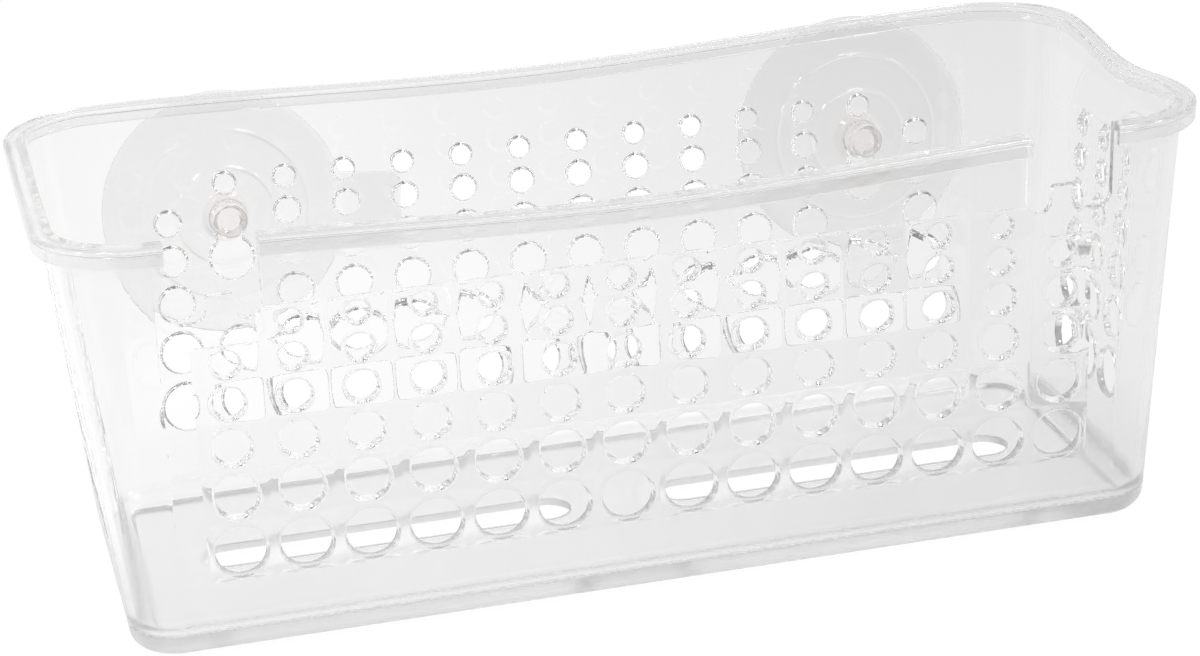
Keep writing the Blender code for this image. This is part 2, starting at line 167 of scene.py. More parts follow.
class Wire:
    """A shader socket that Python sums can use: each sum adds the Math node it stands for."""

    def __init__(self, tree, socket):
        self.tree = tree
        self.socket = socket

    def sum_node(self, operation, first, second):
        return add_node(self.tree, "ShaderNodeMath", {"operation": operation}, {0: first, 1: second})

    def __add__(self, other):
        return self.sum_node("ADD", self, other)

    def __radd__(self, other):
        return self.sum_node("ADD", other, self)

    def __sub__(self, other):
        return self.sum_node("SUBTRACT", self, other)

    def __rsub__(self, other):
        return self.sum_node("SUBTRACT", other, self)

    def __mul__(self, other):
        return self.sum_node("MULTIPLY", self, other)

    def __rmul__(self, other):
        return self.sum_node("MULTIPLY", other, self)


def add_node(tree, kind, settings=None, inputs=None, output=0):
    """Adds any node: settings are set first, then its sockets get values or links."""
    node = tree.nodes.new(kind)
    for name, value in (settings or {}).items():
        setattr(node, name, value)
    for name, value in (inputs or {}).items():
        if isinstance(value, Wire):
            tree.links.new(value.socket, node.inputs[name])
        else:
            node.inputs[name].default_value = value
    return Wire(tree, node.outputs[output]) if node.outputs else None


def blank_tree(owner):
    owner.use_nodes = True
    owner.node_tree.nodes.clear()
    return owner.node_tree


def smooth_step(tree, value, low, high):
    """0 below low, 1 above high and smooth between; low may be the larger one."""
    settings = {"interpolation_type": "SMOOTHSTEP", "clamp": True}
    return add_node(tree, "ShaderNodeMapRange", settings,
                    {"Value": value, "From Min": low, "From Max": high})


def mix_colors(tree, share, first, second):
    settings = {"data_type": "RGBA"}
    return add_node(tree, "ShaderNodeMix", settings, {0: share, 6: first, 7: second}, output=2)


def noise(tree, place, scale, detail=2.0):
    return add_node(tree, "ShaderNodeTexNoise", {}, {"Vector": place, "Scale": scale, "Detail": detail})


def object_place(tree):
    return add_node(tree, "ShaderNodeTexCoord", output="Object")


def axis_of(tree, vector, axis):
    """One number of a vector: axis is X, Y or Z."""
    return add_node(tree, "ShaderNodeSeparateXYZ", {}, {0: vector}, output=axis)


def clear_material(name, tint_at, roughness_at, ior, wave_scale, wave_height):
    """A clear plastic: its colour and roughness vary by place, and slow waves bend what is seen through."""
    material = bpy.data.materials.new(name)
    tree = blank_tree(material)
    place = object_place(tree)
    waves = noise(tree, place, wave_scale, detail=1.0)
    bump = add_node(tree, "ShaderNodeBump", {}, {"Height": waves, "Distance": wave_height, "Strength": 1.0})
    shader = add_node(tree, "ShaderNodeBsdfPrincipled", {}, {
        "Base Color": tint_at(tree, place), "Roughness": roughness_at(tree, place), "IOR": ior,
        "Transmission Weight": 1.0, "Normal": bump,
    })
    add_node(tree, "ShaderNodeOutputMaterial", {}, {"Surface": shader})
    return material


def specked_roughness(tree, place, scale, low, high):
    """Roughness from low to high in fine specks."""
    specks = noise(tree, place, scale, detail=3.0)
    return low + (high - low) * smooth_step(tree, specks, 0.35, 0.7)


def near_floor(tree, place, sizes):
    """1 at the floor and under it, 0 on the walls."""
    floor_top = sizes.foot + sizes.floor
    return smooth_step(tree, axis_of(tree, place, "Z"), floor_top + sizes.floor_fillet, floor_top)


def near_fillets(tree, place, sizes):
    """1 on the rounds between walls and floor, 0 on the flat floor and higher up the walls."""
    flat = 0.98
    steep = 0.8
    upright = axis_of(tree, add_node(tree, "ShaderNodeTexCoord", output="Normal"), "Z")
    return near_floor(tree, place, sizes) * smooth_step(tree, upright * upright, flat, steep)


def low_on_walls(tree, place, sizes):
    """1 on the walls up to the lowest holes, 0 above the next row and on the floor."""
    clear_from = 45.0 * mm
    hazy_under = 15.0 * mm
    low = smooth_step(tree, axis_of(tree, place, "Z"), clear_from, hazy_under)
    return low * (1.0 - near_floor(tree, place, sizes))


def near_rim(tree, place, sizes):
    """1 at the rim's height and 0 below it."""
    skirt_end = sizes.height - sizes.front_sag - sizes.band
    blend = 1.0 * mm
    return smooth_step(tree, axis_of(tree, place, "Z"), skirt_end - blend, skirt_end + blend)


def basket_material(colours, sizes):
    """Polished walls with a faintly clouded tint, and a fine haze on the floor, low walls and rim; the bottom
    rounds get a pure white tint, a painted lightening of the darker band they show.
    """
    tint = Vector(colours.plastic)
    clouded = tint * 0.985

    def tint_at(tree, place):
        cloud = smooth_step(tree, noise(tree, place, scale=22.0), 0.3, 0.75)
        wall = mix_colors(tree, cloud, (*tint, 1.0), (*clouded, 1.0))
        low = mix_colors(tree, near_floor(tree, place, sizes), wall, (*colours.floor, 1.0))
        # Painted light: the rounds between walls and floor get a pure white tint, which lightens the darker
        # band seen through them.
        return mix_colors(tree, near_fillets(tree, place, sizes), low, WHITE)

    def roughness_at(tree, place):
        polish = specked_roughness(tree, place, scale=340.0, low=0.0, high=0.02)
        floor_haze = 0.12 * near_floor(tree, place, sizes) + 0.2 * near_fillets(tree, place, sizes)
        wall_haze = 0.14 * low_on_walls(tree, place, sizes) + 0.09 * near_rim(tree, place, sizes)
        return polish + floor_haze + wall_haze

    return clear_material("clear_plastic", tint_at, roughness_at, ior=1.56,
                          wave_scale=38.0, wave_height=0.06 * mm)


def vinyl_material(colours, sizes):
    """Clear where it is thin, faintly warm in the thick head and neck on the pin's axis."""
    thin = (*colours.vinyl, 1.0)
    thick = (*colours.head, 1.0)

    def near_pin(tree, place):
        flat = add_node(tree, "ShaderNodeVectorMath", {"operation": "MULTIPLY"},
                        {0: place, 1: (1.0, 1.0, 0.0)})
        radius = add_node(tree, "ShaderNodeVectorMath", {"operation": "LENGTH"}, {0: flat}, output="Value")
        return smooth_step(tree, radius, sizes.head * 1.04, sizes.head * 0.95)

    def tint_at(tree, place):
        return mix_colors(tree, near_pin(tree, place), thin, thick)

    def roughness_at(tree, place):
        polish = specked_roughness(tree, place, scale=540.0, low=0.03, high=0.09)
        return polish + 0.12 * near_pin(tree, place)

    return clear_material("soft_clear_vinyl", tint_at, roughness_at, ior=1.5,
                          wave_scale=60.0, wave_height=0.08 * mm)


# Outlines

def arc(center, radius, start, end, steps):
    """Points on an arc; the angles are in quarter turns from +X."""
    points = []
    for i in range(steps + 1):
        angle = (start + (end - start) * i / steps) * QUARTER
        points.append((center[0] + radius * math.cos(angle), center[1] + radius * math.sin(angle)))
    return points


def circle(center, radius, segments):
    return arc(center, radius, 0.0, 4.0, segments)[:-1]


def side_mirrored(outline):
    return [(-x, y) for x, y in reversed(outline)]


def wall_frame(outward, half_size, draft):
    """A frame on a wall's outer face: X along the wall, Y up its slope, Z out of it."""
    outward = Vector(outward)
    lift = Vector((0.0, 0.0, 1.0))
    normal = outward * math.cos(draft) - lift * math.sin(draft)
    slope = outward * math.sin(draft) + lift * math.cos(draft)
    placed = Matrix((slope.cross(normal), slope, normal)).transposed().to_4x4()
    placed.translation = outward * half_size
    return placed


def base_half_sizes(sizes):
    """Half the underside's length and depth, from the frame's rim."""
    lean = sizes.height * math.tan(sizes.draft) + sizes.overhang
    return BASKET_HIGH.x - lean, BASKET_HIGH.y - lean


def hole_radius(sizes, row):
    return sizes.hole * sizes.shrink**row


def row_height(sizes, row):
    height = sizes.first_row
    for lower in range(row):
        height += hole_radius(sizes, lower) + sizes.web + hole_radius(sizes, lower + 1)
    return height


def column_place(column, columns, pitch):
    return (column - (columns - 1) / 2) * pitch


def pin_place(sizes):
    return abs(column_place(PIN_COLUMN, sizes.columns, sizes.pitch))


class Hole:
    """A hole in a wall: its outline grown by some distance, and the cushion round it."""

    def __init__(self, center, radius, cell):
        self.center = center
        self.radius = radius
        self.cell = cell

    def outline(self, extra):
        return circle(self.center, self.radius + extra, HOLE_STEPS)

    def cell_outline(self):
        """The cell's rectangle, point for point with the outline."""
        x, y = self.center
        half_x, half_y = self.cell
        side_steps = HOLE_STEPS // 4
        start = side_steps // 2
        corners = ((1, -1), (1, 1), (-1, 1), (-1, -1))
        points = []
        for k, (from_x, from_y) in enumerate(corners):
            to_x, to_y = corners[(k + 1) % 4]
            for i in range(side_steps):
                share = i / side_steps
                along = from_x + (to_x - from_x) * share
                up = from_y + (to_y - from_y) * share
                points.append((x + half_x * along, y + half_y * up))
        return points[start:] + points[:start]

    def swelling(self, x, y):
        """Cell's half sizes squared less the place's, so that neighbours meet at one height."""
        if self.cell is None:
            return 0.0
        across = x - self.center[0]
        up = y - self.center[1]
        return self.cell[0]**2 - across**2 + self.cell[1]**2 - up**2


class FlatHole:
    """A hole in a flat place, without a cushion."""

    cell = None

    def swelling(self, x, y):
        return 0.0


class Keyhole(FlatHole):
    """A wide lobe under a narrow seat."""

    def __init__(self, sizes, side):
        self.seat = hole_radius(sizes, PIN_ROW)
        self.center = (pin_place(sizes), row_height(sizes, PIN_ROW))
        self.lobe = sizes.lobe
        self.lobe_center = (self.center[0], self.center[1] - sizes.travel)
        self.side = side

    def outline(self, extra):
        opening = math.acos((self.seat + extra) / (self.lobe + extra)) / QUARTER
        points = (arc(self.center, self.seat + extra, 0.0, 2.0, 20)
                  + arc(self.lobe_center, self.lobe + extra, 2.0 - opening, 4.0 + opening, 36))
        return points if self.side > 0 else side_mirrored(points)


class Slot(FlatHole):
    """A long slot with round ends in the floor."""

    def __init__(self, start, end, radius, side):
        self.start = (start, 0.0)
        self.end = (end, 0.0)
        self.radius = radius
        self.side = side

    def outline(self, extra):
        points = (arc(self.start, self.radius + extra, 1.0, 3.0, 16)
                  + arc(self.end, self.radius + extra, -1.0, 1.0, 16))
        return points if self.side > 0 else side_mirrored(points)


def has_hole(sizes, row, column, is_back):
    """No hole in the top corners, nor in the back wall where a keyhole reaches."""
    from_end = min(column, sizes.columns - 1 - column)
    if row == sizes.rows - 1 and from_end == 0:
        return False
    if is_back and from_end == PIN_COLUMN:
        rows_under_lobe = 2
        return row > PIN_ROW or row < PIN_ROW - rows_under_lobe
    return True


def row_hole(sizes, row, place, pitch):
    radius = hole_radius(sizes, row)
    return Hole((place, row_height(sizes, row)), radius, (pitch / 2, radius + sizes.web / 2))


def long_wall_holes(sizes, is_back):
    holes = []
    for row in range(sizes.rows):
        for column in range(sizes.columns):
            if has_hole(sizes, row, column, is_back):
                place = column_place(column, sizes.columns, sizes.pitch)
                holes.append(row_hole(sizes, row, place, sizes.pitch))
    if is_back:
        for hole in holes:
            hole.cell = None
        holes += [Keyhole(sizes, -1), Keyhole(sizes, 1)]
    return holes


def end_wall_holes(sizes):
    holes = []
    for row in range(sizes.rows):
        for column in range(sizes.end_columns):
            place = column_place(column, sizes.end_columns, sizes.end_pitch)
            holes.append(row_hole(sizes, row, place, sizes.end_pitch))
    return holes


def floor_slots(sizes):
    radius = sizes.slot_width / 2
    start = sizes.centre_strip / 2 + radius
    end = sizes.centre_strip / 2 + sizes.slot_length - radius
    return [Slot(start, end, radius, -1), Slot(start, end, radius, 1)]


# Basket mesh

class Shell:
    """The basket's skin while it is sewn together from rings, flat panels and hole walls."""

    def __init__(self, sizes):
        self.sizes = sizes
        self.bm = bmesh.new()
        self.stations = []
        self.corner_spans = []
        self.side_spans = []
        self.flat_places = {}
        self.place_stations()

    def place_stations(self):
        """Places round the basket: (point the corner turns about, outward direction, rim sag)."""
        sizes = self.sizes
        half_x, half_y = base_half_sizes(sizes)
        half_x -= sizes.corner
        half_y -= sizes.corner
        corners = ((half_x, -half_y), (half_x, half_y), (-half_x, half_y), (-half_x, -half_y))
        sides = ((sizes.end_sag, 24), (sizes.back_sag, 60), (sizes.end_sag, 24), (sizes.front_sag, 60))
        corner_steps = 18
        for k, (corner, (sag, steps)) in enumerate(zip(corners, sides)):
            here = Vector(corner)
            there = Vector(corners[(k + 1) % 4])
            first = len(self.stations)
            for direction in arc((0.0, 0.0), 1.0, k - 1, k, corner_steps):
                self.stations.append((here, Vector(direction), 0.0))
            across = Vector(arc((0.0, 0.0), 1.0, k, k, 1)[0])
            self.corner_spans.append((first, first + corner_steps))
            for i in range(1, steps):
                along = i / steps
                dip = sag * (0.5 - 0.5 * math.cos(2 * math.pi * along))
                self.stations.append((here.lerp(there, along), across, dip))
            self.side_spans.append((first + corner_steps, first + corner_steps + steps))

    def ring(self, outward, height, hangs):
        """A closed ring of vertices; one that hangs is measured down from the sagging rim."""
        sizes = self.sizes
        verts = []
        for turning_point, direction, sag in self.stations:
            z = sizes.height - sag + height if hangs else height
            place = turning_point + direction * (sizes.corner + outward + z * math.tan(sizes.draft))
            verts.append(self.bm.verts.new((place.x, place.y, z)))
        return verts

    def sew(self, lower, upper, span=None):
        """Faces between two rings, all the way round or over one span of stations."""
        count = len(self.stations)
        steps = range(count) if span is None else range(span[0], span[1])
        for i in steps:
            j = (i + 1) % count
            face = self.bm.faces.new((lower[i % count], lower[j], upper[j], upper[i % count]))
            face.smooth = True

    def loft(self, profile):
        """Rings for each (outward, height, hangs) of a profile, sewn together; returns first and last."""
        rings = [self.ring(*place) for place in profile]
        for lower, upper in zip(rings, rings[1:]):
            self.sew(lower, upper)
        return rings[0], rings[-1]

    def span_verts(self, ring, span):
        return [ring[i % len(ring)] for i in range(span[0], span[1] + 1)]

    def loop_edges(self, verts):
        edges = []
        for a, b in zip(verts, verts[1:] + verts[:1]):
            edges.append(self.bm.edges.get((a, b)) or self.bm.edges.new((a, b)))
        return edges

    def flat_panel(self, boundary, hole_loops, more_edges):
        """Fills a flat face that has holes."""
        edges = self.loop_edges(boundary) + more_edges
        for loop in hole_loops:
            edges += self.loop_edges(loop)
        made = bmesh.ops.triangle_fill(self.bm, use_beauty=True, use_dissolve=False, edges=edges)
        for item in made["geom"]:
            if isinstance(item, bmesh.types.BMFace):
                item.smooth = False

    def hole_wall(self, hole, placed, thickness, taper):
        """The wall of a hole with softened edges; returns its outer and inner edge loops."""
        soft = self.sizes.edge_round
        steps = 3
        section = []
        for i in range(steps + 1):
            turn = QUARTER * i / steps
            section.append((soft * (1 - math.sin(turn)), soft * (1 - math.cos(turn))))
        loops = []
        for grown, depth in section:
            loops.append([self.bm.verts.new(placed @ Vector((x, y, -depth))) for x, y in hole.outline(grown)])
        for grown, depth in reversed(section):
            loop = []
            for x, y in hole.outline(grown - taper):
                inner = thickness + self.sizes.cushion * hole.swelling(x, y)
                loop.append(self.bm.verts.new(placed @ Vector((x, y, depth - inner))))
            loops.append(loop)
        for near, far in zip(loops, loops[1:]):
            self.band(near, far)
        return loops[0], loops[-1]

    def band(self, near, far):
        """Faces between two loops round a hole."""
        for i in range(len(near)):
            j = (i + 1) % len(near)
            face = self.bm.faces.new((near[i], near[j], far[j], far[i]))
            face.smooth = True

    def cushion(self, hole, edge_loop, placed, thickness, taper, shared):
        """The swollen inner face from a hole's edge out to its cell, whose corners neighbours share."""
        edge = hole.outline(self.sizes.edge_round - taper)
        rim = hole.cell_outline()
        loops = [edge_loop]
        for share in (0.25, 0.5, 0.75, 1.0):
            loop = []
            for (x0, y0), (x1, y1) in zip(edge, rim):
                x = x0 + (x1 - x0) * share
                y = y0 + (y1 - y0) * share
                key = (round(x / mm, 3), round(y / mm, 3))
                if share == 1.0 and key in shared:
                    loop.append(shared[key])
                    continue
                depth = thickness + self.sizes.cushion * hole.swelling(x, y)
                loop.append(self.bm.verts.new(placed @ Vector((x, y, -depth))))
                if share == 1.0:
                    shared[key] = loop[-1]
                    self.flat_places[loop[-1]] = placed @ Vector((x, y, -thickness))
            loops.append(loop)
        for near, far in zip(loops, loops[1:]):
            self.band(near, far)
        return loops[-1]

    def wall_panels(self, outer, inner, holes, placed, thickness, taper):
        """Flat outer face, hole walls, cushions and the flat rest of the inner face."""
        shared = {}
        outer_loops = []
        inner_loops = []
        cells = []
        for hole in holes:
            near, far = self.hole_wall(hole, placed, thickness, taper)
            outer_loops.append(near)
            if hole.cell:
                cells.append(self.cushion(hole, far, placed, thickness, taper, shared))
            else:
                inner_loops.append(far)
        self.flat_panel(outer, outer_loops, [])
        borders = []
        for cell in cells:
            for edge in self.loop_edges(cell):
                if len(edge.link_faces) == 1:
                    edge.smooth = False
                    borders.append(edge)
                    for vert in edge.verts:
                        vert.co = self.flat_places[vert]
        self.flat_panel(inner, inner_loops, borders)


def rim_profile(sizes):
    """The rim's section, from the outer face under it, round it, to the inner face, for Shell.loft."""
    wall = sizes.wall / math.cos(sizes.draft)
    soft = 0.35 * mm
    top_round = 1.2 * mm
    mouth_round = 0.5 * mm
    top = -sizes.rim_top
    inside = sizes.overhang - sizes.skirt
    points = arc((soft, top - soft), soft, 2.0, 1.0, 3)
    points += arc((inside - soft, top - soft), soft, 1.0, 0.0, 3)
    points += arc((inside + soft, soft - sizes.band), soft, 2.0, 3.0, 3)
    points += arc((sizes.overhang - soft, soft - sizes.band), soft, 3.0, 4.0, 3)
    points += arc((sizes.overhang - top_round, -top_round), top_round, 0.0, 1.0, 6)
    points += arc((mouth_round - wall, -mouth_round), mouth_round, 1.0, 2.0, 4)
    return [(outward, height, True) for outward, height in points]


def build_basket(sizes):
    """The whole basket but its notches, as one closed skin."""
    shell = Shell(sizes)
    wall = sizes.wall / math.cos(sizes.draft)
    floor_top = sizes.foot + sizes.floor
    foot_round = 0.6 * mm
    foot_inside = -sizes.fillet - sizes.foot_width
    under = arc((foot_inside - foot_round, sizes.foot - foot_round), foot_round, 1.0, 0.0, 4)
    under += arc((foot_inside + foot_round, foot_round), foot_round, 2.0, 3.0, 4)
    under += arc((-sizes.fillet, sizes.fillet), sizes.fillet, -1.0, 0.0, 10)
    round_inside = sizes.floor_fillet
    inside = arc((-wall - round_inside, floor_top + round_inside), round_inside, 0.0, -1.0, 10)
    ground_ring, wall_foot = shell.loft([(x, z, False) for x, z in under])
    wall_top, inner_top = shell.loft(rim_profile(sizes))
    inner_foot, floor_ring = shell.loft([(x, z, False) for x, z in inside])
    half_x, half_y = base_half_sizes(sizes)
    walls = (((1.0, 0.0, 0.0), half_x, end_wall_holes(sizes)),
             ((0.0, 1.0, 0.0), half_y, long_wall_holes(sizes, True)),
             ((-1.0, 0.0, 0.0), half_x, end_wall_holes(sizes)),
             ((0.0, -1.0, 0.0), half_y, long_wall_holes(sizes, False)))
    for corner in shell.corner_spans:
        shell.sew(wall_foot, wall_top, corner)
        shell.sew(inner_top, inner_foot, corner)
    for span, (outward, half_size, holes) in zip(shell.side_spans, walls):
        placed = wall_frame(outward, half_size, sizes.draft)
        outer = shell.span_verts(wall_foot, span) + shell.span_verts(wall_top, span)[::-1]
        inner = shell.span_verts(inner_foot, span) + shell.span_verts(inner_top, span)[::-1]
        shell.wall_panels(outer, inner, holes, placed, sizes.wall, sizes.taper)
    placed = Matrix.Translation((0.0, 0.0, floor_top))
    shell.wall_panels(floor_ring, ground_ring, floor_slots(sizes), placed, sizes.floor, 0.0)
    bmesh.ops.recalc_face_normals(shell.bm, faces=shell.bm.faces)
    return shell.bm


def notch_outline(sizes):
    """Narrow slot, tab and wide slot, all open to above the rim."""
    past_rim = 6.0 * mm
    above = sizes.height / math.cos(sizes.draft) + past_rim
    start = 94.2 * mm
    bottom = 87.9 * mm
    narrow = 3.3 * mm
    tab = 6.6 * mm
    tab_top = 93.8 * mm
    tab_round = 1.0 * mm
    wide = 8.9 * mm
    corner = 3.6 * mm
    tab_start = start + 2 * narrow
    tab_end = tab_start + tab
    end = tab_end + wide
    return ([(end, above), (start, above)]
            + arc((start + narrow, bottom + narrow), narrow, 2.0, 4.0, 20)
            + arc((tab_start + tab_round, tab_top), tab_round, 2.0, 1.0, 6)
            + arc((tab_end - tab_round, tab_top), tab_round, 1.0, 0.0, 6)
            + arc((tab_end + corner, bottom + corner), corner, 2.0, 3.0, 10)
            + arc((end - corner, bottom + corner), corner, 3.0, 4.0, 10))


def add_prism(bm, outline, low, high):
    bottom = [bm.verts.new((x, y, low)) for x, y in outline]
    top = [bm.verts.new((x, y, high)) for x, y in outline]
    bm.faces.new(reversed(bottom))
    bm.faces.new(top)
    for i in range(len(outline)):
        j = (i + 1) % len(outline)
        bm.faces.new((bottom[i], bottom[j], top[j], top[i]))


def mesh_object(name, bm, matrix=None):
    mesh = bpy.data.meshes.new(name)
    bm.to_mesh(mesh)
    bm.free()
    thing = bpy.data.objects.new(name, mesh)
    bpy.context.scene.collection.objects.link(thing)
    if matrix is not None:
        thing.matrix_world = matrix
    return thing


def apply_boolean(thing, tool, operation):
    """Cuts or joins with a tool object, keeps the result in the mesh and removes the tool."""
    modifier = thing.modifiers.new("form", "BOOLEAN")
    modifier.operation = operation
    modifier.solver = "EXACT"
    modifier.object = tool
    bpy.context.view_layer.update()
    ready = thing.evaluated_get(bpy.context.evaluated_depsgraph_get())
    mesh = bpy.data.meshes.new_from_object(ready)
    thing.modifiers.clear()
    old = thing.data
    thing.data = mesh
    mesh.name = old.name
    bpy.data.meshes.remove(old)
    bpy.data.objects.remove(tool)


def mark_creases(thing):
    """Marks steep edges as sharp, and keeps those that are marked already."""
    bm = bmesh.new()
    bm.from_mesh(thing.data)
    for edge in bm.edges:
        if len(edge.link_faces) == 2 and edge.calc_face_angle() > CREASE:
            edge.smooth = False
    bm.to_mesh(thing.data)
    bm.free()


# Cup mesh

def head_points(sizes):
    """Head and neck of the cup's section: a dimpled, grooved face, a round edge and the neck's round."""
    neck_play = 0.32 * mm
    wall_play = 0.3 * mm
    neck = hole_radius(sizes, PIN_ROW) - neck_play
    back = -sizes.wall - wall_play
    front = back - sizes.head_length
    shallow = front + 0.02 * mm
    deep = front + 0.07 * mm
    front_round = 0.8 * mm
    back_round = 0.4 * mm
    neck_round = 0.3 * mm
    points = [(0.0, front + 0.1 * mm), (0.4 * mm, front + 0.15 * mm), (0.55 * mm, front + 0.3 * mm)]
    for groove in (1.3 * mm, 2.3 * mm, 3.3 * mm):
        points += [(groove, shallow), (groove + 0.12 * mm, deep),
                   (groove + 0.3 * mm, deep), (groove + 0.42 * mm, shallow)]
    points += arc((4.0 * mm, front + front_round), front_round, -1.0, 0.0, 6)
    points += arc((sizes.head - back_round, back - back_round), back_round, 0.0, 1.0, 4)
    points += arc((neck + neck_round, back + neck_round), neck_round, -1.0, -2.0, 3)
    return points + [(neck, 0.0)]


def disc_points(sizes):
    """Hub slope, dished back face with its two ridge rings, round edge and hollow sealing face."""
    hub_top = 1.5 * mm
    hub_slope = 2.4 * mm
    slope_steps = 9
    points = []
    for i in range(slope_steps):
        share = i / slope_steps
        points.append((sizes.hub - hub_slope * (1.0 - share),
                       hub_top * (1.0 - math.cos(math.pi * share)) / 2))
    reach = sizes.cup - sizes.hub
    edge_round = 0.45 * mm
    rise = sizes.standoff - 2 * edge_round - hub_top
    straight = 0.35
    ridge_height = 0.5 * mm
    ridge_width = 0.45 * mm
    back_steps = 90
    for i in range(back_steps + 1):
        radius = sizes.hub + reach * i / back_steps
        share = (radius - sizes.hub) / reach
        place = hub_top + rise * (straight * share + (1.0 - straight) * share * share)
        for ridge in (13.0 * mm, 22.5 * mm):
            near = (radius - ridge) / ridge_width
            place -= ridge_height * math.exp(-near * near)
        points.append((radius, place))
    points += arc((sizes.cup - edge_round, sizes.standoff - edge_round), edge_round, 0.0, 1.0, 4)
    lip = 1.6 * mm
    hollow = 3.5 * mm
    bowl_steps = 20
    for i in range(bowl_steps + 1):
        share = 1.0 - i / bowl_steps
        points.append(((sizes.cup - lip) * share, sizes.standoff - hollow * (1.0 - share**2)))
    return points


def cup_profile(sizes):
    """The cup's section as (radius, place along the pin): 0 is the wall's outer face, + is outwards."""
    return head_points(sizes) + disc_points(sizes)


def turned(profile, segments):
    """Turns a (radius, z) section about Z; points on the axis become single poles."""
    bm = bmesh.new()
    rings = []
    for radius, z in profile:
        if radius == 0.0:
            rings.append([bm.verts.new((0.0, 0.0, z))] * segments)
        else:
            rings.append([bm.verts.new((x, y, z)) for x, y in circle((0.0, 0.0), radius, segments)])
    for lower, upper in zip(rings, rings[1:]):
        for i in range(segments):
            j = (i + 1) % segments
            corners = tuple(dict.fromkeys((lower[i], lower[j], upper[j], upper[i])))
            face = bm.faces.new(corners)
            face.smooth = True
    bmesh.ops.recalc_face_normals(bm, faces=bm.faces)
    return bm


def tab_outline(sizes, shrink):
    """The tab's outline, drawn in by some distance, with its root just inside the disc's edge."""
    overlap = 0.8 * mm
    corner_radius = 4.0 * mm
    end = sizes.cup + sizes.tab_length - shrink
    half = sizes.tab_width / 2 - shrink
    root = sizes.cup - overlap
    corner = corner_radius - shrink
    spread = math.asin(half / root) / QUARTER
    return (arc((0.0, 0.0), root, spread, -spread, 12)
            + arc((end - corner, corner - half), corner, -1.0, 0.0, 10)
            + arc((end - corner, half - corner), corner, 0.0, 1.0, 10))


def rounded_plate(outline_at, low, high):
    """A plate whose outline draws in at both faces, so that its edge is round."""
    bm = bmesh.new()
    middle = (low + high) / 2
    half = (high - low) / 2
    steps = 6
    loops = []
    for i in range(steps + 1):
        turn = (-1.0 + 2.0 * i / steps) * QUARTER
        outline = outline_at(half * (1.0 - math.cos(turn)))
        loops.append([bm.verts.new((x, y, middle + half * math.sin(turn))) for x, y in outline])
    for lower, upper in zip(loops, loops[1:]):
        for i in range(len(lower)):
            j = (i + 1) % len(lower)
            bm.faces.new((lower[i], lower[j], upper[j], upper[i])).smooth = True
    bm.faces.new(loops[0])
    bm.faces.new(loops[-1])
    bmesh.ops.recalc_face_normals(bm, faces=bm.faces)
    return bm


def build_cup(name, side, tab_turn, sizes):
    """A cup on the back wall; tab_turn is how far its tab is turned from level."""
    half_y = base_half_sizes(sizes)[1]
    wall = wall_frame((0.0, 1.0, 0.0), half_y, sizes.draft)
    matrix = wall @ Matrix.Translation((-side * pin_place(sizes), row_height(sizes, PIN_ROW), 0.0))
    cup = mesh_object(name, turned(cup_profile(sizes), segments=128), matrix)
    below_lip = 0.05 * mm
    tab_top = sizes.standoff - below_lip
    tab_thickness = 0.8 * mm
    plate = rounded_plate(lambda shrink: tab_outline(sizes, shrink), tab_top - tab_thickness, tab_top)
    tab = mesh_object(name + "_tab", plate, matrix @ Matrix.Rotation(math.pi - tab_turn, 4, "Z"))
    apply_boolean(cup, tab, "UNION")
    mark_creases(cup)
    return cup


# Operators

class CADDY_OT_stage(bpy.types.Operator):
    """Adds the camera, the white ground, the lamps and the studio around them"""

    bl_idname = "caddy.stage"
    bl_label = "Stage"

    def execute(self, context):
        add_camera()
        add_ground(context.scene.caddy_colours)
        add_lamps()
        add_world()
        context.scene.view_settings.view_transform = "Standard"
        # Light crosses many clear faces on its way through the holes and the rim.
        cycles = context.scene.cycles
        cycles.max_bounces = 160
        cycles.transmission_bounces = 150
        cycles.glossy_bounces = 60
        return {"FINISHED"}


class CADDY_OT_basket(bpy.types.Operator):
    """Builds the clear basket with its rim, holes, slots and notches"""

    bl_idname = "caddy.basket"
    bl_label = "Basket"

    def execute(self, context):
        sizes = context.scene.caddy_sizes
        basket = mesh_object("clear_basket", build_basket(sizes))
        inside = -8.0 * mm
        outside = 10.0 * mm
        bm = bmesh.new()
        add_prism(bm, notch_outline(sizes), inside, outside)
        add_prism(bm, side_mirrored(notch_outline(sizes)), inside, outside)
        bmesh.ops.recalc_face_normals(bm, faces=bm.faces)
        half_y = base_half_sizes(sizes)[1]
        cutter = mesh_object("notch_cutter", bm, wall_frame((0.0, -1.0, 0.0), half_y, sizes.draft))
        apply_boolean(basket, cutter, "DIFFERENCE")
        mark_creases(basket)
        basket.data.materials.clear()
        basket.data.materials.append(basket_material(context.scene.caddy_colours, sizes))
        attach(basket, "basket")
        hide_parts("basket")
        return {"FINISHED"}


class CADDY_OT_cups(bpy.types.Operator):
    """Builds the two soft suction cups in their keyholes"""

    bl_idname = "caddy.cups"
    bl_label = "Suction cups"

    def execute(self, context):
        sizes = context.scene.caddy_sizes
        material = vinyl_material(context.scene.caddy_colours, sizes)
        # Name, side of the basket, and the tab's turn in degrees
        cups = (("left", -1, -6.0), ("right", 1, -84.0))
        for word, side, tab_turn in cups:
            cup = build_cup("soft_cup_" + word, side, math.radians(tab_turn), sizes)
            cup.data.materials.clear()
            cup.data.materials.append(material)
            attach(cup, word + "_cup")
            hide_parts("suction_cup_" + word)
        return {"FINISHED"}


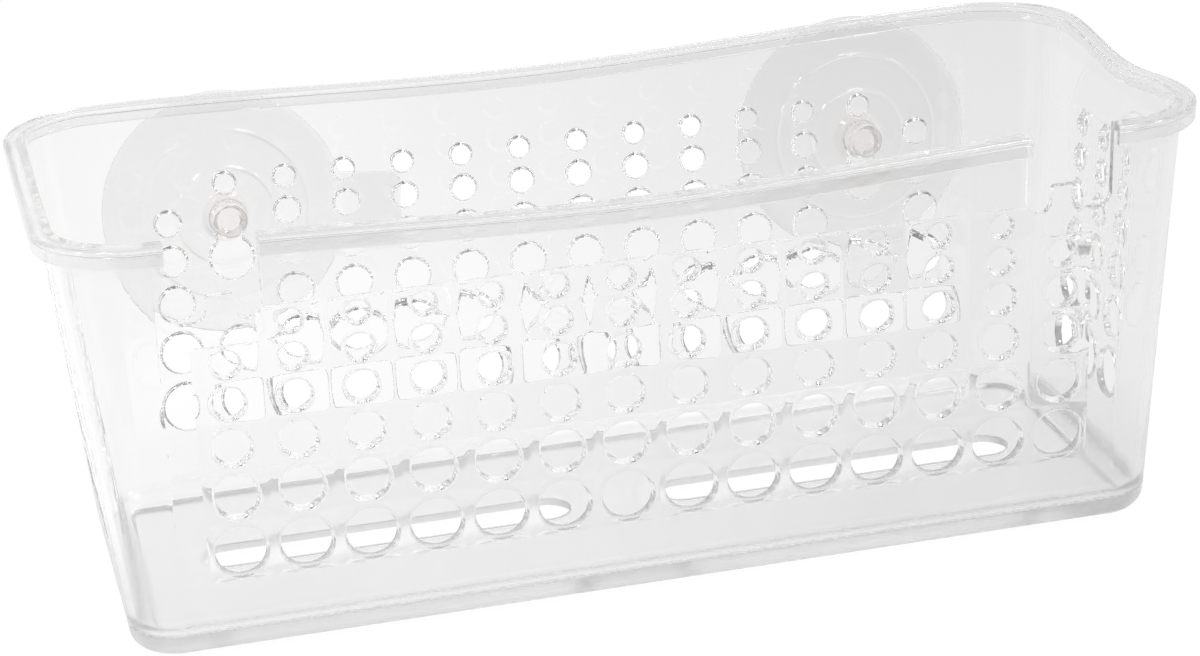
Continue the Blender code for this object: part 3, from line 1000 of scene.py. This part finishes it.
def add_camera():
    """The photograph's viewpoint, by a fit to the basket's holes and outline."""
    position = Vector((-0.17953, -0.7964, 0.34812))
    look = Vector((0.2055, 0.91727, -0.34116)).normalized()
    up = Vector((0.13073, 0.31975, 0.93844))
    right = look.cross(up).normalized()
    up = right.cross(look)
    data = bpy.data.cameras.new("camera")
    data.lens = 100.9
    data.sensor_width = 36.0
    data.clip_start = 0.01
    camera = bpy.data.objects.new("camera", data)
    camera.matrix_world = Matrix.LocRotScale(position, Matrix((right, up, -look)).transposed(), None)
    bpy.context.scene.collection.objects.link(camera)
    bpy.context.scene.camera = camera


def ray_is(tree, kind):
    """1 for rays of one kind: Camera, Glossy or Transmission."""
    return add_node(tree, "ShaderNodeLightPath", output="Is " + kind + " Ray")


def seen_level(tree, camera_ray, level):
    """White to the camera, and a grey of some level to every other ray."""
    return mix_colors(tree, camera_ray + (1.0 - camera_ray) * level, BLACK, WHITE)


def add_ground(colours):
    """A white ground that keeps the object's shadow and is greyer in the glass at the right and front."""
    bm = bmesh.new()
    bmesh.ops.create_grid(bm, x_segments=8, y_segments=8, size=3.0)
    just_under = -0.3 * mm
    ground = mesh_object("ground", bm, Matrix.Translation((0.0, 0.0, just_under)))
    material = bpy.data.materials.new("white_ground")
    tree = blank_tree(material)
    camera_ray = ray_is(tree, "Camera")
    glass_ray = add_node(tree, "ShaderNodeMath", {"operation": "MAXIMUM"},
                         {0: ray_is(tree, "Glossy"), 1: ray_is(tree, "Transmission")})
    place = object_place(tree)
    right = smooth_step(tree, axis_of(tree, place, "X"), -0.12, 0.26)
    front = smooth_step(tree, axis_of(tree, place, "Y"), -0.2, -0.45)
    right_dimming = 0.17
    front_dimming = 0.6
    level = (1.0 - right_dimming * right) * (1.0 - front_dimming * front)
    glow = 1.068
    white_share = 0.9
    share = white_share * camera_ray + white_share * glass_ray
    matte = add_node(tree, "ShaderNodeBsdfDiffuse", {}, {"Color": (*colours.ground, 1.0)})
    white = add_node(tree, "ShaderNodeEmission", {},
                     {"Color": seen_level(tree, camera_ray, level), "Strength": glow})
    both = add_node(tree, "ShaderNodeMixShader", {}, {0: share, 1: matte, 2: white})
    add_node(tree, "ShaderNodeOutputMaterial", {}, {"Surface": both})
    ground.data.materials.append(material)


def add_lamps():
    """Four soft lamps, as (name, place, size, watts), all aimed at the object's middle."""
    lamps = (("key", (-0.8, -0.6, 1.2), 0.3, 4.0), ("side", (1.2, -0.5, 0.9), 0.25, 3.0),
             ("upper", (0.5, -0.33, 1.27), 0.45, 4.5), ("left", (-1.2, -0.34, 0.64), 0.25, 1.4))
    middle = Vector((0.0, 0.0, 0.05))
    for name, place, size, power in lamps:
        data = bpy.data.lights.new(name, "AREA")
        data.shape = "SQUARE"
        data.size = size
        data.energy = power
        lamp = bpy.data.objects.new(name, data)
        aim = (middle - Vector(place)).to_track_quat("-Z", "Y")
        lamp.matrix_world = Matrix.LocRotScale(Vector(place), aim, None)
        bpy.context.scene.collection.objects.link(lamp)


def add_world():
    """White where the camera looks past the ground; around it a studio with darker sides for the glints."""
    world = bpy.data.worlds.new("studio")
    bpy.context.scene.world = world
    tree = blank_tree(world)
    direction = add_node(tree, "ShaderNodeTexCoord", output="Generated")
    height = axis_of(tree, direction, "Z")
    front = smooth_step(tree, axis_of(tree, direction, "Y"), 0.2, -0.4)
    right = smooth_step(tree, axis_of(tree, direction, "X"), 0.0, 0.8)
    top = smooth_step(tree, height, 0.05, 0.4)
    ceiling = smooth_step(tree, height, 0.6, 0.8)
    front_dimming = 0.52
    right_dimming = 0.18
    top_dimming = 0.14 + 0.3 * front
    ceiling_dimming = 0.7
    sides = (1.0 - front_dimming * front) * (1.0 - right_dimming * right)
    above = (1.0 - top_dimming * top) * (1.0 - ceiling_dimming * ceiling)
    colour = seen_level(tree, ray_is(tree, "Camera"), sides * above)
    background = add_node(tree, "ShaderNodeBackground", {}, {"Color": colour, "Strength": 1.0})
    add_node(tree, "ShaderNodeOutputWorld", {}, {"Surface": background})


class CADDY_PT_panel(bpy.types.Panel):
    """The caddy's sizes, colours and builders"""

    bl_idname = "CADDY_PT_panel"
    bl_label = "Suction shower caddy"
    bl_space_type = "VIEW_3D"
    bl_region_type = "UI"
    bl_category = "Caddy"

    def draw(self, context):
        for group in (context.scene.caddy_sizes, context.scene.caddy_colours):
            for name in group.__annotations__:
                self.layout.prop(group, name)
        for operator in OPERATORS:
            self.layout.operator(operator.bl_idname)


OPERATORS = (CADDY_OT_stage, CADDY_OT_basket, CADDY_OT_cups)
CLASSES = (CaddySizes, CaddyColours, *OPERATORS, CADDY_PT_panel)


def register():
    for item in CLASSES:
        bpy.utils.register_class(item)
    bpy.types.Scene.caddy_sizes = PointerProperty(type=CaddySizes)
    bpy.types.Scene.caddy_colours = PointerProperty(type=CaddyColours)


def unregister():
    del bpy.types.Scene.caddy_colours
    del bpy.types.Scene.caddy_sizes
    for item in reversed(CLASSES):
        bpy.utils.unregister_class(item)


def main():
    register()
    bpy.ops.caddy.stage()
    bpy.ops.caddy.basket()
    bpy.ops.caddy.cups()


if __name__ == "__main__":
    main()
